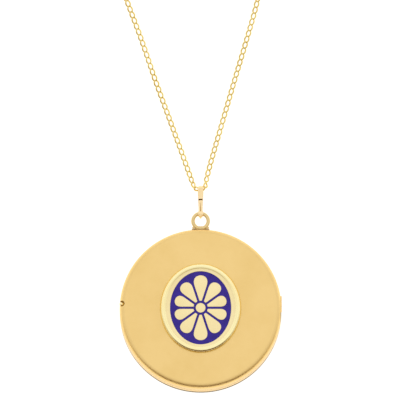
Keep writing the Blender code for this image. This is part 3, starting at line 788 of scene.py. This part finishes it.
def raised(bm, outline_at, bottom, top):
    """An island with an eased top edge: straight up from the plate, then drawn in."""
    ease_in = 0.06 * MM
    levels = [(0.0, bottom), (0.0, top - ease_in)]
    levels += [(ease_in * (1 - math.cos(turn)), top - ease_in * (1 - math.sin(turn)))
               for turn in (math.pi / 6, math.pi / 3, math.pi / 2)]
    rings = [[Vector((point.x, point.y, height)) for point in outline_at(inset)]
             for inset, height in levels]
    loft(bm, rings)


def plaque():
    """The pale-gold plate: a border sloping in to the enamel, and the rosette's islands."""
    bottom, top = PLAQUE_LOW.z, PLAQUE_HIGH.z
    floor = ENAMEL_LOW.z - ENAMEL_BED_DEPTH
    outer = (PLAQUE_HIGH.x + PLAQUE_OVERLAP, PLAQUE_HIGH.y + PLAQUE_OVERLAP)
    inner = (ENAMEL_HIGH.x + ENAMEL_SEAT_GAP, ENAMEL_HIGH.y + ENAMEL_SEAT_GAP)
    rise = BEZEL_HIGH.z - INNER_FALL - top
    levels = [(0.0, bottom), (0.0, top + rise), (0.35, top + 0.45 * rise), (0.7, top + 0.12 * rise),
              (0.95, top), (0.985, top - 0.02 * MM), (1.0, top - 0.06 * MM), (1.0, floor)]
    bm = bmesh.new()
    rings = []
    for share, height in levels:
        half = [a + (b - a) * share for a, b in zip(outer, inner)]
        rings.append(oval_points(half, height))
    loft(bm, rings)
    plate = mesh_object("plaque_plate", bm)
    place(plate, "lid", "pale", "pale_gold", "medallion_plaque")

    sunk = floor - 0.05 * MM
    bm = bmesh.new()
    for index in range(PETALS):
        angle = 2 * math.pi * index / PETALS
        raised(bm, lambda inset: petal_outline(angle, inset), sunk, top)
    raised(bm, boss_outline, sunk, top)
    rosette = mesh_object("plaque_rosette", bm)
    place(rosette, "lid", "pale", "pale_gold")


def oval_points(half, height):
    """An upright ellipse's points at a height."""
    turns = (2 * math.pi * step / OVAL_STEPS for step in range(OVAL_STEPS))
    return [Vector((half[0] * math.cos(turn), half[1] * math.sin(turn), height)) for turn in turns]


def enamel():
    """The blue ground: glassy, highest against the gold and a little sunk between."""
    top = ENAMEL_HIGH.z
    levels = ((1.0, ENAMEL_LOW.z), (1.0, top - 0.01 * MM), (0.99, top - 0.03 * MM),
              (0.94, top - 0.05 * MM), (0.7, top - 0.05 * MM))
    bm = bmesh.new()
    loft(bm, [oval_points((ENAMEL_HIGH.x * share, ENAMEL_HIGH.y * share), height)
              for share, height in levels])
    field = mesh_object("enamel_ground", bm)
    place(field, "lid", "enamel", "blue_enamel", "enamel_field")


# --- Suspension ring, its base and the bail ---

COLLAR_TEETH = 13
COLLAR_TOOTH_RADIUS = 0.17 * MM
COLLAR_TOOTH_PITCH = 0.385 * MM
COLLAR_RADIUS = 22.69 * MM
COLLAR_TOOTH_TURN = COLLAR_TOOTH_PITCH / COLLAR_RADIUS
COLLAR_HALF_TURN = (COLLAR_TEETH - 1) / 2 * COLLAR_TOOTH_TURN
COLLAR_BOTTOM = COLLAR_LOW.z
COLLAR_TOP = COLLAR_HIGH.z + 0.3 * MM
LIP_RADIUS = 23.27 * MM
LIP_HALF_LENGTH = 2.35 * MM
LIP_RISE = 0.1 * MM
LIP_END_RADIUS = 0.17 * MM


def ring_and_base():
    """The ring, the smooth lip it is soldered into, and the milled row against the case."""
    ring = torus("hanging_ring", RING_CENTRE, RING_MAJOR, RING_WIRE, steps=128, sides=28)
    place(ring, "case", "ring", "polished_gold", "suspension_ring")
    place(ring_lip(), "case", "ring", "polished_gold", "ring_base_collar")
    place(ring_base_teeth(), "case", "ring", "polished_gold")
    # The dark piece behind the teeth is painted shade.
    place(ring_base_painted_shade(), "case", "painted_shade", "polished_gold")


def ring_lip():
    """A smooth bar bent round the case's edge, drawn in at its ends."""
    points = []
    steps = 28
    for step in range(steps + 1):
        turn = LIP_HALF_LENGTH / LIP_RADIUS * (2 * step / steps - 1)
        points.append(Vector((LIP_RADIUS * math.sin(turn), LIP_RADIUS * math.cos(turn),
                              RING_CENTRE.z + LIP_RISE)))
    bm = bmesh.new()
    loft(bm, swept(points, 20, lambda index: lip_radius(index / steps)))
    return mesh_object("ring_lip", bm)


def lip_radius(share):
    """The lip's thickness along its length: full in the middle, drawn in at its ends."""
    return LIP_END_RADIUS * (1 + math.sqrt(max(1 - (2 * share - 1) ** 2, 0.0)))


def ring_base_teeth():
    """The milled row: upright teeth with domed tops, side by side along the lip."""
    bottom, top = COLLAR_BOTTOM, COLLAR_TOP
    dome = [(0.55, top - 0.03 * MM), (0.87, top - 0.09 * MM), (1.0, top - 0.2 * MM),
            (1.0, bottom + 0.2 * MM), (0.8, bottom)]
    bm = bmesh.new()
    for index in range(COLLAR_TEETH):
        turn = index * COLLAR_TOOTH_TURN - COLLAR_HALF_TURN
        centre = Vector((math.sin(turn), math.cos(turn), 0)) * COLLAR_RADIUS
        rings = []
        for share, height in dome:
            outline = arc((0, 0), COLLAR_TOOTH_RADIUS * share, 0, 342, 19)
            rings.append([centre + Vector((x, y, height)) for x, y in outline])
        loft(bm, rings)
    return mesh_object("ring_base_teeth", bm)


def ring_base_painted_shade():
    """A dark piece behind the teeth, between them and the case: painted shade in the gap."""
    foot = COLLAR_BOTTOM + 0.1 * MM
    inner = CASE_RADIUS + 0.06 * MM
    section = ((inner, foot), (COLLAR_RADIUS, foot), (COLLAR_RADIUS, COLLAR_TOP - 0.25 * MM),
               (inner, COLLAR_TOP - 0.12 * MM))
    bm = bmesh.new()
    steps = 32
    rings = []
    for step in range(steps + 1):
        turn = COLLAR_HALF_TURN * (2 * step / steps - 1)
        out = Vector((math.sin(turn), math.cos(turn), 0))
        rings.append([out * radius + Vector((0, 0, height)) for radius, height in section])
    loft(bm, rings)
    return mesh_object("ring_base_painted_shade", bm)


BAIL_LENGTH = 6.92 * MM
BAIL_PIVOT = RING_CENTRE + Vector((0, RING_MAJOR, 0))
BAIL_NEAR_INNER = 0.65 * MM
BAIL_FAR_INNER = 1.1 * MM
BAIL_STRIP = 0.4 * MM
BAIL_TIP_EXTRA = 0.7 * MM
BAIL_SEAM_AT = 3.7 * MM
BAIL_SEAM = 0.4 * MM
BAIL_CREASE_SHADE_START = 0.5 * MM
BAIL_CREASE_SHADE_LENGTH = 3.0 * MM
BAIL_SHOULDER = -0.5 * MM
BAIL_WAIST = 1.6 * MM
BAIL_RIDGE_EASE = 2.6 * MM
BAIL_POINT_HALF = 0.12 * MM
BAIL_SHOULDER_HALF = 0.76 * MM
BAIL_NECK_HALF = 0.52 * MM
BAIL_TOP_HALF = 0.77 * MM
BAIL_ROUNDING = 0.92
BAIL_FLOOR_GAP = 0.02 * MM
BAIL_DROP = BAIL_PIVOT.z - BAIL_FAR_INNER - BAIL_STRIP - BAIL_FLOOR_GAP
BAIL_TILT = -math.asin(BAIL_DROP / BAIL_LENGTH)


def bail_half_width(along):
    """Half the strip's width: waisted above the ring, with a pointed end inside it."""
    if along < BAIL_SHOULDER:
        point = (BAIL_SHOULDER - along) / (BAIL_SHOULDER + BAIL_NEAR_INNER + BAIL_STRIP)
        return BAIL_SHOULDER_HALF + (BAIL_POINT_HALF - BAIL_SHOULDER_HALF) * min(point, 1.0)
    share = min(max(along / BAIL_LENGTH, 0.0), 1.0)
    shoulder = ease(1 - (along - BAIL_SHOULDER) / BAIL_WAIST)
    end = min(max((along - BAIL_LENGTH) / (BAIL_FAR_INNER + BAIL_STRIP), 0.0), 1.0)
    width = BAIL_NECK_HALF + (BAIL_TOP_HALF - BAIL_NECK_HALF) * share ** 1.2
    width += (BAIL_SHOULDER_HALF - BAIL_NECK_HALF) * shoulder
    return width * math.sqrt(1 - BAIL_ROUNDING * end ** 2)


def belt(near, far, steps):
    """A belt round the bail's two ends, with its outward direction at each point."""
    lean = math.asin((far - near) / BAIL_LENGTH)
    far_centre = Vector((0, BAIL_LENGTH, 0))
    quarter = math.pi / 2

    def outward(turn):
        return Vector((0, math.cos(turn), math.sin(turn)))

    points = []
    for step in range(steps + 1):
        out = outward(-quarter - lean + (math.pi + 2 * lean) * step / steps)
        points.append((far_centre + out * far, out))
    out = outward(quarter + lean)
    for step in range(1, steps):
        points.append(((far_centre + out * far).lerp(out * near, step / steps), out))
    for step in range(steps + 1):
        out = outward(quarter + lean + (math.pi - 2 * lean) * step / steps)
        points.append((out * near, out))
    out = outward(-quarter - lean)
    for step in range(1, steps):
        points.append(((out * near).lerp(far_centre + out * far, step / steps), out))
    return points


def leaf_height(along, inward=0.0):
    """How high the front leaf's outer face stands over the bail's long axis."""
    share = along / BAIL_LENGTH
    near = BAIL_NEAR_INNER + BAIL_STRIP
    return near + (BAIL_FAR_INNER + BAIL_STRIP - near) * share - inward


def bail_seam_shade():
    """A dark piece sunk in the seam: painted shade in the slit."""
    bm = bmesh.new()
    half = BAIL_SEAM / 2 + 0.02 * MM
    across = bail_half_width(BAIL_SEAM_AT) * 0.86
    low = leaf_height(BAIL_SEAM_AT, BAIL_STRIP * 0.8)
    high = leaf_height(BAIL_SEAM_AT, BAIL_STRIP * 0.34)
    steps = 12
    rings = []
    for step in range(steps + 1):
        turn = math.pi * (step / steps - 0.5)
        x = across * math.sin(turn)
        reach = half * max(math.cos(turn), 0.25)
        corners = ((-reach, low), (reach, low), (reach, high), (-reach, high))
        rings.append([Vector((x, BAIL_SEAM_AT + along, height)) for along, height in corners])
    loft(bm, rings)
    return mesh_object("bail_seam_painted_shade", bm)


def bail_crease_shade():
    """A dark line from the seam towards the ring, thickening as it goes: painted shade along the
    crease.
    """
    bm = bmesh.new()
    sunk = 0.015 * MM
    steps = 24
    points = []
    for step in range(steps + 1):
        along = BAIL_SEAM_AT - BAIL_CREASE_SHADE_START - BAIL_CREASE_SHADE_LENGTH * step / steps
        points.append(Vector((0, along, leaf_height(along, sunk))))
    loft(bm, swept(points, 8, lambda index: (0.02 + 0.1 * ease(index / 20)) * MM))
    return mesh_object("bail_crease_painted_shade", bm)


def bail():
    """The folded strip: crowned near the chain, ridged and pointed towards the ring."""
    bm = bmesh.new()
    rings = []
    for point, out in belt(BAIL_NEAR_INNER, BAIL_FAR_INNER, 28):
        along = point.y
        half = bail_half_width(along)
        ridge = ease((BAIL_SEAM_AT - along) / BAIL_RIDGE_EASE)
        tip = min(max(-along / BAIL_NEAR_INNER, 0.0), 1.0)
        thick = BAIL_STRIP + BAIL_TIP_EXTRA * tip
        section = [(-1.0, 0.0)]
        for step in range(13):
            across = -1 + step / 6
            crown = math.sqrt(max(1 - across * across, 0.0)) * 0.45 + 0.55
            roof = 1 - 0.8 * abs(across)
            section.append((across, thick * (crown * (1 - ridge) + roof * ridge)))
        section.append((1.0, 0.0))
        rings.append([point + Vector((across * half, 0, 0)) + out * height
                      for across, height in section])
    loft(bm, rings, closed_path=True)
    strip = mesh_object("bail_strip", bm)
    seam = slab("cut_seam", (-CUT_OVERRUN, BAIL_SEAM_AT - BAIL_SEAM / 2, BAIL_NEAR_INNER / 2),
                (CUT_OVERRUN, BAIL_SEAM_AT + BAIL_SEAM / 2, BAIL_LENGTH / 2))
    cut(strip, seam)
    # The seam piece and the crease line are dark pieces of painted shade.
    painted_shade = bail_seam_shade()
    crease_shade = bail_crease_shade()
    for piece in (strip, painted_shade, crease_shade):
        piece.data.transform(Matrix.Translation(BAIL_PIVOT) @ Matrix.Rotation(BAIL_TILT, 4, "X"))
    place(strip, "bail", "bail", "polished_gold", "bail")
    place(painted_shade, "bail", "painted_shade", "polished_gold")
    place(crease_shade, "bail", "crease_shade", "polished_gold")


# --- Chain ---

def link_rings(sides=10, steps=22):
    """One curb link's wire: an oval with a twist that lets its neighbours lie flat."""
    line = []
    for step in range(steps):
        turn = 2 * math.pi * step / steps
        line.append(Vector((LINK_HALF_LENGTH - LINK_WIRE, 0, 0)) * math.cos(turn)
                    + Vector((0, LINK_HALF_WIDTH, 0)) * math.sin(turn)
                    + Vector((0, 0, LINK_TWIST)) * math.sin(2 * turn))
    return swept(line, sides, lambda index: LINK_WIRE, closed=True)


def chain_side(name, side, route, coil, nodes):
    """One side of the chain: real links along its route, rolled on edge where it leaves."""
    path = chain_path(side, route, coil)
    rings = link_rings()
    bm = bmesh.new()
    lengths = [0.0]
    for a, b in zip(path, path[1:]):
        lengths.append(lengths[-1] + (b - a).length)
    ends = [path[0]]
    index = 0
    for number in range(1, int(lengths[-1] / LINK_PITCH) + 1):
        at = number * LINK_PITCH
        while lengths[index + 1] < at:
            index += 1
        share = (at - lengths[index]) / (lengths[index + 1] - lengths[index])
        ends.append(path[index].lerp(path[index + 1], share))
    for number, (start, end) in enumerate(zip(ends, ends[1:])):
        centre = (start + end) / 2
        along = (end - start).normalized()
        across = Vector((0, 0, 1)).cross(along).normalized()
        up = along.cross(across)
        roll = FIRST_LINK_ROLL * (1 - ease(number / LEVEL_AFTER_LINKS)) * side
        wide = across * math.cos(roll) + up * math.sin(roll)
        flat = along.cross(wide)
        turn = Matrix((along, wide, flat)).transposed()
        loft(bm, [[centre + turn @ point for point in ring] for ring in rings], closed_path=True)
    chain = mesh_object(name, bm)
    place(chain, "chain", "chain", "chain_gold", *nodes)


# --- Clasp ---

JUMP_LOW, JUMP_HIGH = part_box("clasp_jump_ring")
END_LOW, END_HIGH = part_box("end_ring")
CLASP_CENTRE = Vector((COIL_CENTRE.x - 0.6 * MM, COIL_CENTRE.y + 0.9 * MM, 0.52 * MM))
CLASP_TURN = 54
CLASP_MAJOR = 2.2 * MM
CLASP_PIPE = 0.5 * MM
CLASP_BORE = 0.34 * MM
CLASP_PIPE_ARC = (-100, 220)
CLASP_BORE_ARC = (-108, 228)
CLASP_SLOT_ARC = (-240, -180)
CLASP_SLOT_WIRE = 0.22 * MM
CLASP_BOLT_ARC = (-240, -96)
CLASP_BOLT = 0.29 * MM
CLASP_LEVER_AT = -190
CLASP_LEVER_REACH = 3.2 * MM
CLASP_LEVER_WIRE = 0.15 * MM
CLASP_EYE_REACH = 3.15 * MM
CLASP_EYE_MAJOR = 0.55 * MM
CLASP_EYE_WIRE = 0.18 * MM
SPRING_START = -288
SPRING_SWEEP = -62
SPRING_TURNS = 9
SPRING_RADIUS = 0.2 * MM
SPRING_WIRE = 0.055 * MM
JUMP_WIRE = 0.17 * MM


def clasp_point(angle_deg, radius=CLASP_MAJOR, height=0.0):
    """A point of the clasp's round, by angle from its eye."""
    angle = math.radians(CLASP_TURN + angle_deg)
    return CLASP_CENTRE + Vector((radius * math.cos(angle), radius * math.sin(angle), height))


def clasp_arc(name, start, end, radius, wire, sides=24):
    """A round bar along part of the clasp's round."""
    steps = round(abs(end - start) / 3)
    points = [clasp_point(start + (end - start) * i / steps, radius) for i in range(steps + 1)]
    return rod(name, points, wire, sides)


def clasp():
    """The spring ring: a bored pipe with an eye, its bolt with a lever, and the spring."""
    pipe = clasp_arc("clasp_pipe", *CLASP_PIPE_ARC, CLASP_MAJOR, CLASP_PIPE)
    eye = torus("clasp_eye", clasp_point(0, CLASP_EYE_REACH), CLASP_EYE_MAJOR, CLASP_EYE_WIRE,
                steps=48, sides=16)
    fuse(pipe, eye)
    slot_radius = CLASP_MAJOR + CLASP_BORE + 0.1 * MM
    cut(pipe, clasp_arc("cut_bore", *CLASP_BORE_ARC, CLASP_MAJOR, CLASP_BORE),
        clasp_arc("cut_slot", *CLASP_SLOT_ARC, slot_radius, CLASP_SLOT_WIRE, 16))
    place(pipe, "chain", "polished", "polished_gold", "clasp_body")

    bolt = clasp_arc("clasp_bolt", *CLASP_BOLT_ARC, CLASP_MAJOR, CLASP_BOLT)
    lever_line = [clasp_point(CLASP_LEVER_AT, reach) for reach in (CLASP_MAJOR, CLASP_LEVER_REACH)]
    fuse(bolt, rod("clasp_lever", lever_line, CLASP_LEVER_WIRE, 16))
    place(bolt, "clasp_trigger", "polished", "polished_gold", "clasp_trigger")

    per_turn = 16
    steps = SPRING_TURNS * per_turn
    points = []
    for step in range(steps + 1):
        turn = 2 * math.pi * step / per_turn
        angle = SPRING_START + SPRING_SWEEP * step / steps
        points.append(clasp_point(angle, CLASP_MAJOR + SPRING_RADIUS * math.cos(turn),
                                  SPRING_RADIUS * math.sin(turn)))
    spring = rod("clasp_coil_spring", points, SPRING_WIRE, 8)
    place(spring, "chain", "steel", "spring_steel", "clasp_spring")

    upright = Matrix.Rotation(math.radians(CLASP_TURN), 3, "Z") @ Matrix.Rotation(math.pi / 2, 3, "X")
    jump = torus("jump_ring", (JUMP_LOW + JUMP_HIGH) / 2, (JUMP_HIGH.z - JUMP_LOW.z) / 2 - JUMP_WIRE,
                 JUMP_WIRE, upright, 64, 16)
    place(jump, "chain", "polished", "polished_gold", "clasp_jump_ring")
    end_wire = (END_HIGH.z - END_LOW.z) / 2
    end = torus("chain_end_ring", (END_LOW + END_HIGH) / 2, (END_HIGH.x - END_LOW.x) / 2 - end_wire,
                end_wire, None, 64, 16)
    place(end, "chain", "polished", "polished_gold", "end_ring")
    return pipe, bolt, spring, jump, end


# --- Stage ---

TABLE_HALF = 4.0
TABLE_DROP = 0.02 * MM
SHADOW_SHIFT = 0.14 * MM
SHADOW_INSIDE = 0.12 * MM
SHADOW_OUTSIDE = 0.04 * MM
TABLE_GLOW = 0.95
DOME_COLOURS = ((1.0, 1.0, 1.0), (0.92, 0.92, 0.92), (0.50, 0.40, 0.24), (0.12, 0.045, 0.0))


def stage():
    """A glowing pale table, a dome that is darker low on the near side, and a softbox."""
    table()
    dome()
    add_light("softbox", (0.0, 0.25, 0.9), (0.0, 0.03, 0.0), 0.7, 0.2)
    view = bpy.context.scene.view_settings
    view.view_transform = "Standard"
    view.look = "None"
    view.exposure = 0.0
    view.gamma = 1.0


def table():
    """The table: it glows white, except in a round under the case, moved a little nearer, which is a
    painted contact shadow.
    """
    bm = bmesh.new()
    bmesh.ops.create_grid(bm, x_segments=1, y_segments=1, size=TABLE_HALF)
    floor = mesh_object("table", bm)
    floor.location.z = -TABLE_DROP
    m = Nodes("table_white")
    m.join(m.ramp(m.noise(m.where, 40, 2), (0.0, (0.34, 0.31, 0.25)), (1.0, (0.36, 0.33, 0.27))),
           m.shader.inputs["Base Color"])
    m.shader.inputs["Roughness"].default_value = 0.9
    m.shader.inputs["Emission Color"].default_value = (1.0, 1.0, 1.0, 1.0)
    # Painted contact shadow: no glow within a round under the case.
    shifted = m.add("ShaderNodeVectorMath", operation="ADD")
    shifted.inputs[1].default_value = (0.0, SHADOW_SHIFT, 0.0)
    m.join(m.where, shifted.inputs[0])
    away = m.add("ShaderNodeVectorMath", operation="LENGTH")
    m.join(shifted.outputs["Vector"], away.inputs[0])
    glow = m.add("ShaderNodeMapRange")
    glow.inputs["From Min"].default_value = CASE_RADIUS - SHADOW_INSIDE
    glow.inputs["From Max"].default_value = CASE_RADIUS + SHADOW_OUTSIDE
    glow.inputs["To Max"].default_value = TABLE_GLOW
    m.join(away.outputs["Value"], glow.inputs["Value"])
    m.join(glow.outputs["Result"], m.shader.inputs["Emission Strength"])
    floor.data.materials.append(m.material)


def dome():
    """The world: white high up and on the far side, amber to brown low on the near side."""
    world = bpy.data.worlds.new("dome")
    bpy.context.scene.world = world
    world.use_nodes = True
    tree = world.node_tree
    background = tree.nodes["Background"]
    direction = tree.nodes.new("ShaderNodeTexCoord")
    split = tree.nodes.new("ShaderNodeSeparateXYZ")
    tree.links.new(direction.outputs["Generated"], split.inputs["Vector"])
    height, depth = split.outputs["Z"], split.outputs["Y"]

    def work_out(operation, a, b):
        """A math node of two values, each a number or a socket."""
        node = tree.nodes.new("ShaderNodeMath")
        node.operation = operation
        for socket, value in zip(node.inputs, (a, b)):
            if isinstance(value, (int, float)):
                socket.default_value = value
            else:
                tree.links.new(value, socket)
        return node.outputs["Value"]

    def fade(value, start, end):
        """A smooth 0 to 1 as a value goes from start to end."""
        node = tree.nodes.new("ShaderNodeMapRange")
        node.interpolation_type = "SMOOTHSTEP"
        node.inputs["From Min"].default_value = start
        node.inputs["From Max"].default_value = end
        tree.links.new(value, node.inputs["Value"])
        return node.outputs["Result"]

    low = fade(height, 0.88, 0.35)
    near = work_out("MULTIPLY", low, fade(depth, -0.1, -0.85))
    band = work_out("MULTIPLY", fade(height, 0.55, 0.15), fade(depth, 0.5, 0.0))
    near = work_out("MAXIMUM", near, work_out("MULTIPLY", band, 0.55))
    far = work_out("MULTIPLY", low, fade(depth, -0.3, 0.5))
    lifted = work_out("ADD", 0.5, work_out("MULTIPLY", near, 0.5))
    shade = work_out("SUBTRACT", lifted, work_out("MULTIPLY", far, 0.5))
    ramp = tree.nodes.new("ShaderNodeValToRGB")
    elements = ramp.color_ramp.elements
    elements.new(0.5)
    elements.new(0.78)
    for element, colour in zip(elements, DOME_COLOURS):
        element.color = (*colour, 1.0)
    tree.links.new(shade, ramp.inputs["Fac"])
    tree.links.new(ramp.outputs["Color"], background.inputs["Color"])
    background.inputs["Strength"].default_value = 1.0


def add_light(name, location, target, size, energy):
    """A square area light turned towards a point."""
    light = bpy.data.lights.new(name, "AREA")
    light.shape = "SQUARE"
    light.size = size
    light.energy = energy
    obj = link_in(bpy.data.objects.new(name, light))
    obj.location = location
    obj.rotation_mode = "QUATERNION"
    obj.rotation_quaternion = (Vector(target) - Vector(location)).to_track_quat("-Z", "Y")


def build():
    """The whole scene: camera and cords first."""
    make_camera()
    pipe, bolt, spring, jump, end = clasp()
    chain_side("chain_right", 1, RIGHT_ROUTE, coil_points(8, 0.0, 0, 690, 2.6 * MM),
               ("chain_right_run", "chain_coil"))
    chain_side("chain_left", -1, LEFT_ROUTE, coil_points(-88, 1.5 * MM, 96, 700, 1.9 * MM),
               ("chain_left_run",))
    covers()
    inner_band()
    picture_place("back", "case", False)
    picture_place("front", "lid", True)
    hinge()
    catch_ball()
    bezel()
    plaque()
    enamel()
    ring_and_base()
    bail()
    stage()


build()
